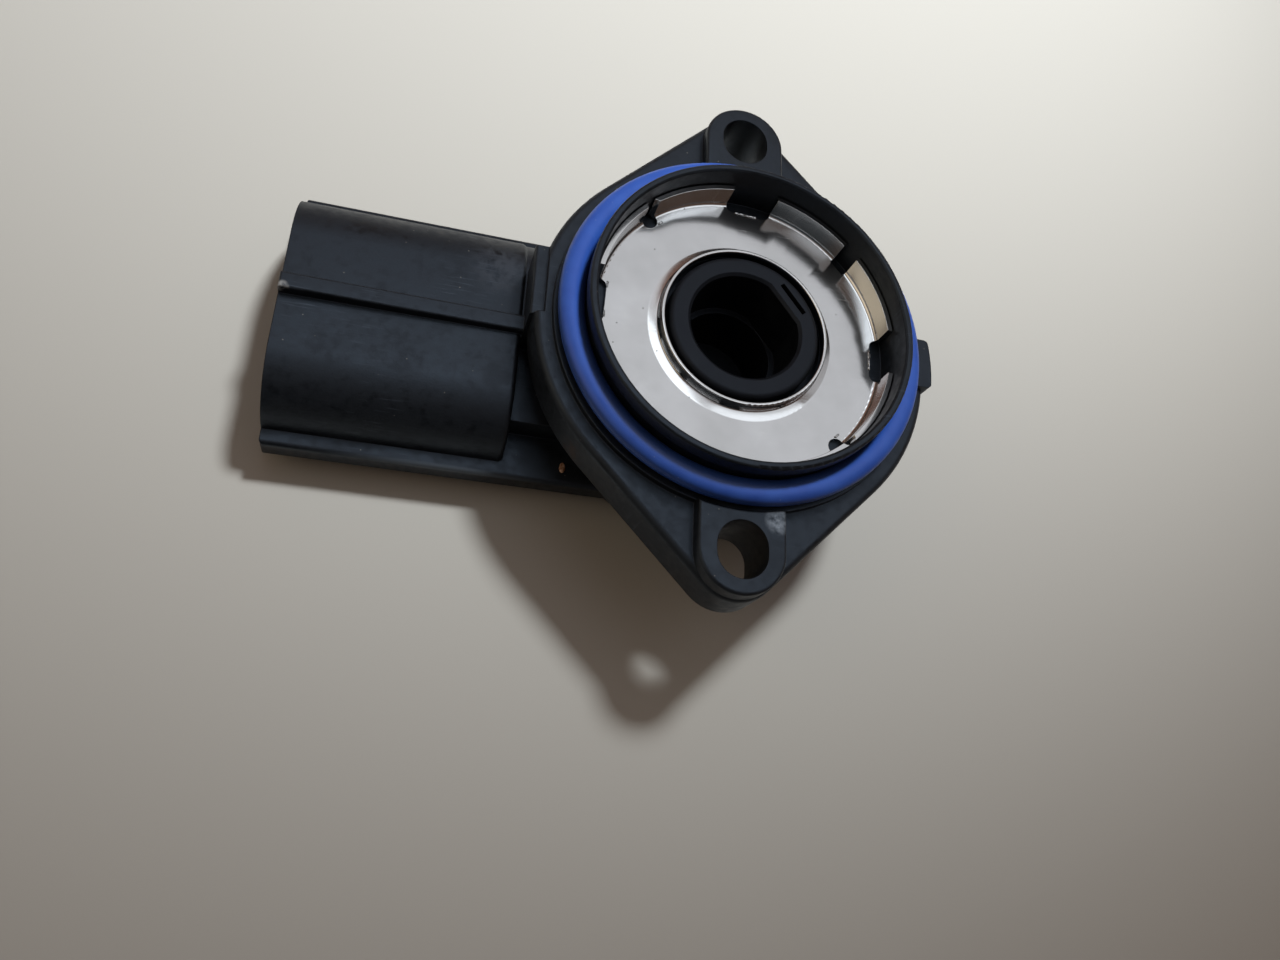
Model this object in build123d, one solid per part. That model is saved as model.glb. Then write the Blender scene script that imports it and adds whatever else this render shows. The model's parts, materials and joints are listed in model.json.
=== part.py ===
"""Throttle position sensor: a moulded housing with a floating rotor that the throttle shaft turns.

Sizes are in millimetres and angles in degrees. Z is the axis of the rotor, and the nose points to +Z.
The connector points to -X and the two ears lie along Y. z = 0 is the face of the ears, which meets the
throttle body, so the collar and its seal stand above z = 0 and the rest of the sensor hangs below it.
"""
import os
from math import cos, radians, sin

from build123d import *

# Screws and ears
SCREW_SPACING = 44.3
SCREW_SLOT_WIDTH = 4.8
SCREW_SLOT_LENGTH = 5.4
EAR_WALL = 1.75
EAR_STEP = 1.5
EAR_EDGE = 0.35

# Flange
FLANGE_R = 20.0
FLANGE_THICKNESS = 4.5
FLANGE_EDGE = 0.7
TIP_MARGIN = 0.2
TAB_WIDTH = 5.4
TAB_OFFSET = 0.2
TAB_REACH = 0.5
TAB_ROUND = 0.5
TAB_HEIGHT = 2.0
TAB_RISE = 0.6

# Nose collar and its seal
COLLAR_R = 15.9
COLLAR_WALL = 0.75
COLLAR_HEIGHT = 3.7
COLLAR_ROUND = 0.28
COLLAR_FLARE = 0.2
SEAL_SECTION = 2.45
SEAL_GROOVE = 0.22
SEAL_HEIGHT = 0.5
SEAL_GAP = 0.05
LAND_MARGIN = 0.2

# Rear body
BODY_R = 16.4
BODY_DRAFT = 0.2
BACK_DEPTH = 17.0
BACK_ROUND = 1.2
BACK_RECESS_R = 11.5
BACK_RECESS_DEPTH = 0.4
CAVITY_R = 13.6
FLOOR = 2.8

# Connector shroud
MOUTH_X = 42.8
SHROUD_LENGTH = 22.4
SHROUD_WIDTH = 24.4
SHROUD_TOP = 6.8
SHROUD_BOTTOM = 15.3
SHROUD_CORNER = 6.4
SHROUD_EDGE = 0.5
SHROUD_WALL = 1.5
SOCKET_DEPTH = 14.0
SOCKET_CORNER = 4.4
SOCKET_FOOT_CORNER = 0.8
RAIL_WIDTH = 27.4
RAIL_HEIGHT = 2.7
RAIL_EDGE = 0.5
RIB_WIDTH = 1.7
RIB_HEIGHT = 1.1
RIB_END_HEIGHT = 0.75
RIB_OFFSET = -0.15
RIB_OVERRUN = 0.7
RIB_EDGE = 0.25

# Neck between the shroud and the body
NECK_WIDTH = 18.0
NECK_TOP = 9.5
BLOCK_NEAR = -1.2
BLOCK_INSET = 0.2
FLANGE_FLAT_DEPTH = 1.0
LEDGE_RUN = 1.3
LEDGE_DROP = 0.7
LEDGE_EDGE = 0.3

# Retainer, a stamping
SHEET = 0.5
RETAINER_DROP = 0.9
LIP_R = 8.05
LIP_RISE = 1.35
LIP_WALL = 0.35
LIP_BEND = 0.3
LIP_EDGE = 0.12
DRAW_WIDTH = 0.95
DRAW_RISE = 0.24
DRAW_BEND = 1.0
TAB_RISE_ABOVE_DISC = 2.4
TAB_BEND = 0.4
RETAINER_GAP = 0.1
RETAINER_ANGLE = -2.5
WIDE_GAP = 4.7
WIDE_GAP_R = 13.6
WIDE_GAP_CORNER = 0.8
NARROW_GAP = 1.9
NARROW_GAP_R = 14.0
SLIT = 0.9
SLIT_HOLE_R = 0.8
SLIT_HOLE_AT = 14.3

# Rotor
ROTOR_GAP = 0.45
ROTOR_FACE = 0.45
ROTOR_EDGE = 0.6
ROTOR_PLAY = 0.35
DISC_R = 12.6
DISC_THICKNESS = 1.85
HUB_R = 7.2
HUB_FLOOR_GAP = 0.3
HUB_END = 1.3
BORE_R = 5.5
BORE_CHAMFER = 0.3
DRIVE_DEPTH = 6.45
PILOT_R = 4.9
FLAT_DISTANCE = 5.0
FLAT_ANGLE = 38.5
TONGUE = 1.0
TONGUE_SLOT_WIDTH = 3.6
TONGUE_SLOT = 0.5
TONGUE_SLOT_DEPTH = 5.5
TRAVEL_ANGLE = 105.0

# Contactor and the paddle that carries it
PADDLE_ANGLE = -57.0
PADDLE_SPAN_ANGLE = 24.0
PADDLE_R = 10.9
PADDLE_WALL = 1.3
PADDLE_DROP = 7.0
WEB = 1.6
SPRING_SHEET = 0.25
SPRING_GAP = 0.05
SPRING_MARGIN = 0.6
STAKE_R = 0.6
STAKE_HEAD_R = 0.95
STAKE_HEAD = 0.4
FINGER_SWEEP_ANGLE = 24.0
FINGER_WIDTH = 0.7
FINGER_PITCH = 1.0
TRACK_PITCH = 3.2
FINGER_GAP = 0.15

# Element film, wedge and the housing's ribs round them
FILM = 0.2
FILM_GAP = 0.05
FILM_TOP = 4.2
FILM_HEIGHT = 7.0
FILM_START_ANGLE = 150.0
FILM_SWEEP_ANGLE = 230.0
WEDGE_SPAN_ANGLE = 56.0
WEDGE_THICKNESS = 1.8
WEDGE_TAPER = 0.4
WEDGE_TOP = 4.6
WEDGE_HEIGHT = 6.4
BACKING_WALL = 1.2
STOP_SPAN_ANGLE = 6.0
STOP_TOP = 8.5
STOP_GAP = 0.3

# Terminals
TERMINAL_PITCH = 6.0
TERMINAL_WIDTH = 2.2
TERMINAL_SHEET = 0.64
TERMINAL_DEPTH = 11.0
TERMINAL_REACH = 7.7
TERMINAL_POINT = 1.0
PAD_TOP = 6.2

# Places worked out from the sizes above
SCREW_Y = SCREW_SPACING / 2
EAR_R = SCREW_SLOT_WIDTH / 2 + EAR_WALL
FLANGE_TOP = -EAR_STEP
FLANGE_BOTTOM = FLANGE_TOP - FLANGE_THICKNESS
COLLAR_IN = COLLAR_R - COLLAR_WALL
GROOVE_R = COLLAR_R - SEAL_GROOVE
SEAL_IN = GROOVE_R + SEAL_GAP
SEAL_OUT = SEAL_IN + SEAL_SECTION
SEAL_TOP = SEAL_HEIGHT + SEAL_SECTION / 2
LAND_Z = SEAL_HEIGHT - SEAL_SECTION / 2 - SEAL_GAP
LAND_R = SEAL_OUT + LAND_MARGIN
BACK_Z = -BACK_DEPTH
FLOOR_Z = BACK_Z + FLOOR
DISC_TOP = -RETAINER_DROP
SEAT_Z = DISC_TOP - SHEET
SHROUD_END_X = -MOUTH_X + SHROUD_LENGTH
FLANGE_FLAT_X = FLANGE_R - FLANGE_FLAT_DEPTH
FLAT_FAR = (FLANGE_R**2 - FLANGE_FLAT_X**2) ** 0.5
ROTOR_DISC_TOP = SEAT_Z - ROTOR_PLAY
ROTOR_DISC_BOTTOM = ROTOR_DISC_TOP - DISC_THICKNESS
HUB_BOTTOM = FLOOR_Z + HUB_FLOOR_GAP
PADDLE_BOTTOM = ROTOR_DISC_BOTTOM - PADDLE_DROP
PADDLE_MID = (ROTOR_DISC_BOTTOM + PADDLE_BOTTOM) / 2
FILM_OUT = CAVITY_R - FILM_GAP
FILM_IN = FILM_OUT - FILM
WEDGE_OUT = FILM_IN - FILM_GAP


def place(radius, angle):
    """Point at a radius and an angle round the rotor's axis."""
    return (radius * cos(radians(angle)), radius * sin(radians(angle)))


def section(*points):
    """Closed outline of radius and height, standing in the plane of the axis."""
    return Plane.XZ * make_face(Polyline(*points, close=True))


def ring_sector(outline, middle, span):
    """A section turned about the axis through a span, centred on an angle."""
    return Rot(0, 0, middle - span / 2) * revolve(outline, Axis.Z, span)


def ring_section(inner, outer, bottom, top):
    return section((inner, bottom), (outer, bottom), (outer, top), (inner, top))


def block(x, y, z):
    """Box between two limits on each axis."""
    size = [high - low for low, high in (x, y, z)]
    middle = [(low + high) / 2 for low, high in (x, y, z)]
    return Pos(*middle) * Box(*size)


def top_edges(solid):
    return solid.faces().sort_by(Axis.Z)[-1].edges()


def flange():
    """Two-ear plate, with the U-shaped pads that the screws clamp and a small tab opposite the connector."""
    tip_r = EAR_R + TIP_MARGIN
    rims = [Edge.make_circle(FLANGE_R)]
    rims += [Edge.make_circle(tip_r).moved(Location((0, y, 0))) for y in (-SCREW_Y, SCREW_Y)]
    plate = extrude(Pos(0, 0, FLANGE_BOTTOM) * make_hull(rims), FLANGE_THICKNESS)
    plate = fillet(top_edges(plate), FLANGE_EDGE)
    pad_outline = Pos(0, SCREW_Y) * Circle(EAR_R) + Pos(0, SCREW_Y / 2) * Rectangle(2 * EAR_R, SCREW_Y)
    pad_outline -= Circle(LAND_R)
    pad = extrude(Pos(0, 0, FLANGE_BOTTOM) * pad_outline, -FLANGE_BOTTOM)
    pad = fillet(top_edges(pad), EAR_EDGE)
    land = extrude(Pos(0, 0, FLANGE_BOTTOM) * Circle(LAND_R), LAND_Z - FLANGE_BOTTOM)
    tab_top = FLANGE_TOP + TAB_RISE
    tab_y = (TAB_OFFSET - TAB_WIDTH / 2, TAB_OFFSET + TAB_WIDTH / 2)
    tab = block((0, FLANGE_R + 2 * TAB_REACH), tab_y, (tab_top - TAB_HEIGHT, tab_top))
    tab &= Pos(0, 0, tab_top) * Cylinder(FLANGE_R + TAB_REACH, 4 * TAB_HEIGHT)
    tab = fillet(tab.edges().filter_by(Axis.Z).sort_by(Axis.X)[-2:], TAB_ROUND)
    return plate + pad + Rot(0, 0, 180) * pad + land + tab


def collar():
    """Nose that pilots in the throttle body, with a shallow groove for the seal, before it is hollowed."""
    groove_top = SEAL_TOP + SEAL_GROOVE
    outline = make_face(
        Polyline(
            (0, FLANGE_BOTTOM),
            (GROOVE_R, FLANGE_BOTTOM),
            (GROOVE_R, groove_top),
            (COLLAR_R, groove_top + SEAL_GROOVE),
            (COLLAR_R, COLLAR_HEIGHT),
            (0, COLLAR_HEIGHT),
            close=True,
        )
    )
    rim = outline.vertices().sort_by_distance((COLLAR_R, COLLAR_HEIGHT, 0))[0]
    return revolve(Plane.XZ * fillet(rim, COLLAR_ROUND), Axis.Z)


def rear_body():
    """Round cup below the flange, with a flat back that has a shallow recess."""
    outline = section(
        (0, BACK_Z),
        (BODY_R - BODY_DRAFT, BACK_Z),
        (BODY_R, FLANGE_BOTTOM),
        (BODY_R, LAND_Z),
        (0, LAND_Z),
    )
    cup = revolve(outline, Axis.Z)
    cup = fillet(cup.faces().sort_by(Axis.Z)[0].edges(), BACK_ROUND)
    return cup - Pos(0, 0, BACK_Z) * Cylinder(BACK_RECESS_R, 2 * BACK_RECESS_DEPTH)


def shroud_outline():
    """Section of the connector: flat below, with two large round corners on top."""
    middle_z = -(SHROUD_TOP + SHROUD_BOTTOM) / 2
    outline = Pos(0, middle_z) * Rectangle(SHROUD_WIDTH, SHROUD_BOTTOM - SHROUD_TOP)
    return fillet(outline.vertices().group_by(Axis.Y)[-1], SHROUD_CORNER)


def across(x):
    """Plane across the connector, with Y to the right and Z up."""
    return Plane(origin=(x, 0, 0), x_dir=(0, 1, 0), z_dir=(1, 0, 0))


def shroud():
    """Connector tube with side rails and the rib that keys the plug."""
    tube = extrude(across(-MOUTH_X) * shroud_outline(), SHROUD_LENGTH)
    tube = fillet(tube.faces().sort_by(Axis.X)[-1].edges(), SHROUD_EDGE)
    rail_z = (-SHROUD_BOTTOM, RAIL_HEIGHT - SHROUD_BOTTOM)
    rails = block((-MOUTH_X, 0), (-RAIL_WIDTH / 2, RAIL_WIDTH / 2), rail_z)
    mouth_corners = rails.edges().filter_by(Axis.Z).group_by(Axis.X)[0]
    rails = fillet(rails.edges().filter_by(Axis.X) + mouth_corners, RAIL_EDGE)
    rib_profile = Plane.XZ * make_face(
        Polyline(
            (-MOUTH_X, -SHROUD_TOP - SHROUD_CORNER / 2),
            (-MOUTH_X, RIB_HEIGHT - SHROUD_TOP),
            (SHROUD_END_X + RIB_OVERRUN, RIB_END_HEIGHT - SHROUD_TOP),
            (SHROUD_END_X + RIB_OVERRUN, -SHROUD_TOP - SHROUD_CORNER / 2),
            close=True,
        )
    )
    rib = Pos(0, RIB_OFFSET, 0) * extrude(rib_profile, RIB_WIDTH / 2, both=True)
    rib = fillet(top_edges(rib), RIB_EDGE)
    return tube + rails + rib


def socket():
    """Hollow of the connector, open at the mouth."""
    middle_z = -(SHROUD_TOP + SHROUD_BOTTOM) / 2
    height = SHROUD_BOTTOM - SHROUD_TOP - 2 * SHROUD_WALL
    outline = Pos(0, middle_z) * Rectangle(SHROUD_WIDTH - 2 * SHROUD_WALL, height)
    outline = fillet(outline.vertices().group_by(Axis.Y)[-1], SOCKET_CORNER)
    outline = fillet(outline.vertices().group_by(Axis.Y)[0], SOCKET_FOOT_CORNER)
    return extrude(across(-MOUTH_X) * outline, SOCKET_DEPTH)


def neck():
    """Slab that carries the terminals into the body, and the block and ledge on its far side."""
    start_x = SHROUD_END_X - 2 * SHROUD_EDGE
    slab = block((start_x, 0), (-NECK_WIDTH / 2, NECK_WIDTH / 2), (-SHROUD_BOTTOM, -NECK_TOP))
    far_side = Pos(BLOCK_NEAR + SHROUD_WIDTH / 2, 0) * Rectangle(SHROUD_WIDTH, 2 * SHROUD_BOTTOM)
    raised = extrude(across(start_x) * (offset(shroud_outline(), -BLOCK_INSET) & far_side), -start_x)
    ledge_z = (-SHROUD_TOP - 2 * BLOCK_INSET, FLANGE_TOP - LEDGE_DROP)
    ledge = block((-FLANGE_FLAT_X - LEDGE_RUN, 0), (BLOCK_NEAR, FLAT_FAR), ledge_z)
    ledge = fillet(top_edges(ledge).filter_by(Axis.Y).sort_by(Axis.X)[0], LEDGE_EDGE)
    return slab + raised + ledge


def flange_flat():
    """Corner that the flange leaves out above the neck's block."""
    reach = FLANGE_R
    return block((-FLANGE_FLAT_X - reach, -FLANGE_FLAT_X), (BLOCK_NEAR, FLAT_FAR), (-SHROUD_TOP, 0))


def cavity():
    """Hollow for the retainer, the rotor and the film, open at the nose."""
    top = COLLAR_HEIGHT
    outline = section(
        (0, FLOOR_Z),
        (CAVITY_R, FLOOR_Z),
        (CAVITY_R, SEAT_Z),
        (COLLAR_IN, SEAT_Z),
        (COLLAR_IN, top - COLLAR_FLARE),
        (COLLAR_IN + COLLAR_FLARE, top),
        (0, top),
    )
    return revolve(outline, Axis.Z)


def inner_ribs():
    """Wall behind the wedge, and the two stops that end the rotor's travel."""
    wedge_bottom = -WEDGE_TOP - WEDGE_HEIGHT
    top_r = WEDGE_OUT - WEDGE_THICKNESS - FILM_GAP
    bottom_r = top_r + WEDGE_TAPER
    foot_r = bottom_r - WEDGE_TAPER - BACKING_WALL
    sunk = FLOOR_Z - FLOOR / 2
    backing = section(
        (foot_r, sunk),
        (bottom_r, sunk),
        (bottom_r, wedge_bottom),
        (top_r, -WEDGE_TOP),
        (foot_r, -WEDGE_TOP),
    )
    ribs = ring_sector(backing, 180, WEDGE_SPAN_ANGLE)
    stop = ring_section(PADDLE_R - PADDLE_WALL, PADDLE_R, sunk, -STOP_TOP)
    clear = PADDLE_SPAN_ANGLE / 2 + STOP_SPAN_ANGLE / 2 + STOP_GAP / radians(PADDLE_R)
    for angle in (PADDLE_ANGLE - clear, PADDLE_ANGLE + TRAVEL_ANGLE + clear):
        ribs += ring_sector(stop, angle, STOP_SPAN_ANGLE)
    return ribs


def terminal(y):
    """Blade from the socket to a pad that is bent up flush with the wall of the cavity."""
    tip_x = -MOUTH_X + SOCKET_DEPTH - TERMINAL_REACH
    half = TERMINAL_WIDTH / 2
    outline = Polyline(
        (0, y - half),
        (tip_x + TERMINAL_POINT, y - half),
        (tip_x, y - half + TERMINAL_POINT / 2),
        (tip_x, y + half - TERMINAL_POINT / 2),
        (tip_x + TERMINAL_POINT, y + half),
        (0, y + half),
        close=True,
    )
    low = -TERMINAL_DEPTH - TERMINAL_SHEET / 2
    blade = extrude(Pos(0, 0, low) * make_face(outline), TERMINAL_SHEET)
    pad = revolve(ring_section(CAVITY_R, CAVITY_R + TERMINAL_SHEET, low, -PAD_TOP), Axis.Z)
    pad &= block((-2 * CAVITY_R, 0), (y - half, y + half), (low, -PAD_TOP))
    return blade + pad - Cylinder(CAVITY_R, 2 * BACK_DEPTH)


def housing(terminals):
    """The whole moulding, with the terminals moulded in."""
    slot = extrude(Rot(0, 0, 90) * SlotOverall(SCREW_SLOT_LENGTH, SCREW_SLOT_WIDTH), BACK_DEPTH, both=True)
    body = flange() - flange_flat()
    body += rear_body() + collar() + shroud() + neck()
    body -= cavity()
    body -= socket()
    body += inner_ribs()
    for y in (-SCREW_Y, SCREW_Y):
        body -= Pos(0, y, 0) * slot
    for blade in terminals:
        body -= blade
    return body


def seal():
    """Rubber ring that rests on the land and grips the groove of the collar."""
    middle = SEAL_IN + SEAL_SECTION / 2
    return Pos(0, 0, SEAL_HEIGHT) * Torus(middle, SEAL_SECTION / 2)


def retainer():
    """Stamped cup: a disc that rises gently to the lip drawn round its hole, with tabs bent up at its edge."""
    lip_top = DISC_TOP + LIP_RISE
    lip_out = LIP_R + LIP_WALL
    foot_r = lip_out + DRAW_WIDTH
    drawn_top = DISC_TOP + DRAW_RISE
    drawn_bottom = SEAT_Z + DRAW_RISE * (foot_r - LIP_R) / DRAW_WIDTH
    tab_top = DISC_TOP + TAB_RISE_ABOVE_DISC
    tab_out = COLLAR_IN - RETAINER_GAP
    tab_in = tab_out - SHEET
    outline = make_face(
        Polyline(
            (LIP_R, lip_top),
            (lip_out, lip_top),
            (lip_out, drawn_top),
            (foot_r, DISC_TOP),
            (tab_in, DISC_TOP),
            (tab_in, tab_top),
            (tab_out, tab_top),
            (tab_out, SEAT_Z),
            (foot_r, SEAT_Z),
            (LIP_R, drawn_bottom),
            close=True,
        )
    )
    bends = {
        (LIP_R, lip_top): LIP_EDGE,
        (lip_out, lip_top): LIP_EDGE,
        (lip_out, drawn_top): LIP_BEND,
        (foot_r, DISC_TOP): DRAW_BEND,
        (tab_in, DISC_TOP): TAB_BEND,
        (tab_out, SEAT_Z): TAB_BEND + SHEET,
        (foot_r, SEAT_Z): DRAW_BEND,
        (LIP_R, drawn_bottom): LIP_BEND + SHEET,
    }
    for (radius, height), bend in bends.items():
        corner = outline.vertices().sort_by_distance((radius, height, 0))[0]
        outline = fillet(corner, bend)
    cup = revolve(Plane.XZ * outline, Axis.Z)
    for quarter in range(4):
        cup -= retainer_cut(quarter)
    return cup


def retainer_cut(quarter):
    """The wide gap of one quarter, with the slot or keyhole slit half a quarter further on."""
    reach = COLLAR_R
    wide = Pos(WIDE_GAP_R + reach / 2, 0) * Rectangle(reach, WIDE_GAP)
    wide = fillet(wide.vertices().group_by(Axis.X)[0], WIDE_GAP_CORNER)
    if quarter % 2:
        thin = Pos(SLIT_HOLE_AT + reach / 2, 0) * Rectangle(reach, SLIT)
        thin += Pos(SLIT_HOLE_AT, 0) * Circle(SLIT_HOLE_R)
    else:
        thin = Pos(NARROW_GAP_R + reach / 2, 0) * Rectangle(reach, NARROW_GAP)
    angle = RETAINER_ANGLE + 90 * quarter
    outline = Rot(0, 0, angle) * wide + Rot(0, 0, angle + 45) * thin
    return extrude(outline, COLLAR_HEIGHT, both=True)


def rotor():
    """Hub that the shaft turns: a nose inside the lip, a disc under it and a paddle for the contactor."""
    nose_r = LIP_R - ROTOR_GAP
    outline = make_face(
        Polyline(
            (0, HUB_BOTTOM),
            (HUB_R, HUB_BOTTOM),
            (HUB_R, ROTOR_DISC_BOTTOM),
            (DISC_R, ROTOR_DISC_BOTTOM),
            (DISC_R, ROTOR_DISC_TOP),
            (nose_r, ROTOR_DISC_TOP),
            (nose_r, ROTOR_FACE),
            (0, ROTOR_FACE),
            close=True,
        )
    )
    outline = fillet(outline.vertices().sort_by_distance((nose_r, ROTOR_FACE, 0))[0], ROTOR_EDGE)
    hub = revolve(Plane.XZ * outline, Axis.Z) - shaft_bore()
    mouth = hub.faces().sort_by(Axis.Z)[-1].inner_wires()[0]
    hub = chamfer(mouth.edges(), BORE_CHAMFER)
    return hub - tongue_slot() + paddle()


def shaft_bore():
    """D-shaped drive at the mouth, then the round pilot for the end of the shaft."""
    behind_flat = Pos(FLAT_DISTANCE + BORE_R, 0) * Rectangle(2 * BORE_R, 2 * BORE_R)
    drive = Circle(BORE_R) - Rot(0, 0, FLAT_ANGLE) * behind_flat
    bore = extrude(Pos(0, 0, ROTOR_FACE - DRIVE_DEPTH) * drive, DRIVE_DEPTH)
    pilot_bottom = HUB_BOTTOM + HUB_END
    pilot = extrude(Pos(0, 0, pilot_bottom) * Circle(PILOT_R), ROTOR_FACE - pilot_bottom)
    return bore + pilot


def tongue_slot():
    """Slot behind the flat, which leaves a thin tongue that springs against the shaft."""
    low_x = FLAT_DISTANCE + TONGUE
    half = TONGUE_SLOT_WIDTH / 2
    slot = block((low_x, low_x + TONGUE_SLOT), (-half, half), (ROTOR_FACE - TONGUE_SLOT_DEPTH, ROTOR_FACE))
    return Rot(0, 0, FLAT_ANGLE) * slot


def paddle():
    """Curved wall under the disc, a web to the hub and the two stakes that hold the contactor."""
    sunk = ROTOR_DISC_BOTTOM + DISC_THICKNESS / 2
    outline = ring_section(PADDLE_R - PADDLE_WALL, PADDLE_R, PADDLE_BOTTOM, sunk)
    wall = ring_sector(outline, 0, PADDLE_SPAN_ANGLE)
    wall += block((HUB_R - WEB / 2, PADDLE_R - PADDLE_WALL / 2), (-WEB / 2, WEB / 2), (PADDLE_BOTTOM, sunk))
    plate_out = PADDLE_R + SPRING_GAP + SPRING_SHEET
    stake = extrude(Plane.YZ * Circle(STAKE_R), plate_out + SPRING_GAP)
    stake += Pos(plate_out + SPRING_GAP, 0, 0) * extrude(Plane.YZ * Circle(STAKE_HEAD_R), STAKE_HEAD)
    across_head = (-STAKE_HEAD_R, STAKE_HEAD_R)
    stake &= block((PADDLE_R - PADDLE_WALL / 2, CAVITY_R), across_head, across_head)
    for height in stake_heights():
        wall += Pos(0, 0, height) * stake
    return Rot(0, 0, PADDLE_ANGLE) * wall


def stake_heights():
    return (PADDLE_MID - TRACK_PITCH / 2, PADDLE_MID + TRACK_PITCH / 2)


def contactor():
    """Spring plate on the paddle, with two pairs of fingers that reach for the film."""
    plate_in = PADDLE_R + SPRING_GAP
    plate_out = plate_in + SPRING_SHEET
    bottom = PADDLE_BOTTOM + SPRING_MARGIN
    top = ROTOR_DISC_BOTTOM - SPRING_MARGIN
    plate = ring_sector(ring_section(plate_in, plate_out, bottom, top), 0, PADDLE_SPAN_ANGLE)
    for height in stake_heights():
        hole = extrude(Plane.YZ * Circle(STAKE_R + SPRING_GAP), CAVITY_R)
        plate -= Pos(0, 0, height) * hole
    for track in stake_heights():
        for side in (-FINGER_PITCH / 2, FINGER_PITCH / 2):
            plate += Pos(0, 0, track + side) * finger(plate_in)
    return Rot(0, 0, PADDLE_ANGLE) * plate


def finger(root_in):
    """Strip that bends outwards from the edge of the plate to the film."""
    root = -PADDLE_SPAN_ANGLE / 2 + degrees_along(SPRING_SHEET, root_in)
    tip = -PADDLE_SPAN_ANGLE / 2 - FINGER_SWEEP_ANGLE
    middle = (root + tip) / 2
    tip_in = FILM_IN - FINGER_GAP - SPRING_SHEET
    middle_in = (root_in + tip_in) / 2 + SPRING_SHEET / 2
    inner = ThreePointArc(place(root_in, root), place(middle_in, middle), place(tip_in, tip))
    outer = ThreePointArc(
        place(root_in + SPRING_SHEET, root),
        place(middle_in + SPRING_SHEET, middle),
        place(tip_in + SPRING_SHEET, tip),
    )
    ends = [Line(inner @ 0, outer @ 0), Line(inner @ 1, outer @ 1)]
    outline = make_face([inner, outer] + ends)
    return extrude(outline, FINGER_WIDTH / 2, both=True)


def degrees_along(length, radius):
    return length / radians(radius)


def element_film():
    """Flexible film on the wall of the cavity, from the terminals' pads round to the end of the tracks."""
    strip = ring_section(FILM_IN, FILM_OUT, -FILM_TOP - FILM_HEIGHT, -FILM_TOP)
    return ring_sector(strip, FILM_START_ANGLE + FILM_SWEEP_ANGLE / 2, FILM_SWEEP_ANGLE)


def wedge():
    """Tapered block that presses the film on the pads."""
    bottom = -WEDGE_TOP - WEDGE_HEIGHT
    inner = WEDGE_OUT - WEDGE_THICKNESS
    outline = section(
        (inner + WEDGE_TAPER, bottom),
        (WEDGE_OUT, bottom),
        (WEDGE_OUT, -WEDGE_TOP),
        (inner, -WEDGE_TOP),
    )
    return ring_sector(outline, 180, WEDGE_SPAN_ANGLE)


def build():
    terminals = {
        "terminal_supply": terminal(TERMINAL_PITCH),
        "terminal_signal": terminal(0),
        "terminal_ground": terminal(-TERMINAL_PITCH),
    }
    return {
        "housing": housing(terminals.values()),
        "o_ring": seal(),
        "retainer": retainer(),
        "rotor": rotor(),
        "contactor": contactor(),
        "element_film": element_film(),
        "wedge": wedge(),
        **terminals,
    }


os.makedirs("parts", exist_ok=True)
for name, solid in build().items():
    export_step(solid, f"parts/{name}.step")
    print(name, "volume", round(solid.volume, 1), "mm3")
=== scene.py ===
# %% [markdown]
# # A throttle position sensor
# The sensor sits on the side of an engine's throttle body and tells how far the throttle is open. A black
# moulded housing carries a blue seal round its nose. A bright steel stamping closes the nose, and a black
# rotor turns inside it. This lesson loads the exact solids, gives each one its finish, adds the small marks
# of making and of use, and lights the scene.

# %% Load the exact solids
import json
import math

import bpy
from mathutils import Matrix, Vector

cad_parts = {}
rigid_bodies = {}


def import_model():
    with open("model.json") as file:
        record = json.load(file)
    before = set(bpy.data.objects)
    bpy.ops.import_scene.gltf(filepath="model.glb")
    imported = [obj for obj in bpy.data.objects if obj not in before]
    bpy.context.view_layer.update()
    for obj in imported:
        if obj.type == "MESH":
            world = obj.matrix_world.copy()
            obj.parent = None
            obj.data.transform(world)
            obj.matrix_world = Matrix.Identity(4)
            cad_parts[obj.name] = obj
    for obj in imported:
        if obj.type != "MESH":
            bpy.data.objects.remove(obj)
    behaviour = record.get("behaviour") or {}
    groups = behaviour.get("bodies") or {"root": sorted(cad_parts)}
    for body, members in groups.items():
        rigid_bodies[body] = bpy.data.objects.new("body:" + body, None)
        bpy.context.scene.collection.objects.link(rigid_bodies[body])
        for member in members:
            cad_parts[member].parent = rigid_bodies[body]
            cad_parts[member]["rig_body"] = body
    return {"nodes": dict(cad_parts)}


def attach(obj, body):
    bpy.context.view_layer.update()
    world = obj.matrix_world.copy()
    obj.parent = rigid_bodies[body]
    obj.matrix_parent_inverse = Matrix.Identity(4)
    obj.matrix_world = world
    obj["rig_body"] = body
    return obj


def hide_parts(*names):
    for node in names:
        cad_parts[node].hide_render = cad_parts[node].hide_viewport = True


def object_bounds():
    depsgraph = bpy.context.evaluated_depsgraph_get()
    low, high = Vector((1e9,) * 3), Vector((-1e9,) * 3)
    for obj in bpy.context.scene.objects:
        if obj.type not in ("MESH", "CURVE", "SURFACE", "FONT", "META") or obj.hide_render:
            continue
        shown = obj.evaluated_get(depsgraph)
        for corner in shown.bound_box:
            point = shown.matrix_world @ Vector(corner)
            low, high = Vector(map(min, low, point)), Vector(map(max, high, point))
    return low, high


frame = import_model()
cad_box = [list(corner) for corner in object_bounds()]
MM = 0.001
print("solids", sorted(frame["nodes"]), "box", cad_box)

# %% [markdown]
# ## Colours and nodes
# Colours are written as sRGB hex values, as a paint chart gives them, but shaders work in linear light. One
# function converts them, and another adds a shader node with its settings and links. A Mix node keeps its
# colour sockets behind the ones for numbers and vectors, so these are picked by their places.

# %% Helpers for materials
MIX_SHARE = 0
MIX_FIRST = 6
MIX_SECOND = 7
MIX_RESULT = 2


def srgb(code):
    """Linear colour of an sRGB hex value."""
    channels = [int(code[i : i + 2], 16) / 255 for i in (1, 3, 5)]
    linear = [c / 12.92 if c <= 0.04045 else ((c + 0.055) / 1.055) ** 2.4 for c in channels]
    return (*linear, 1.0)


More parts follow.
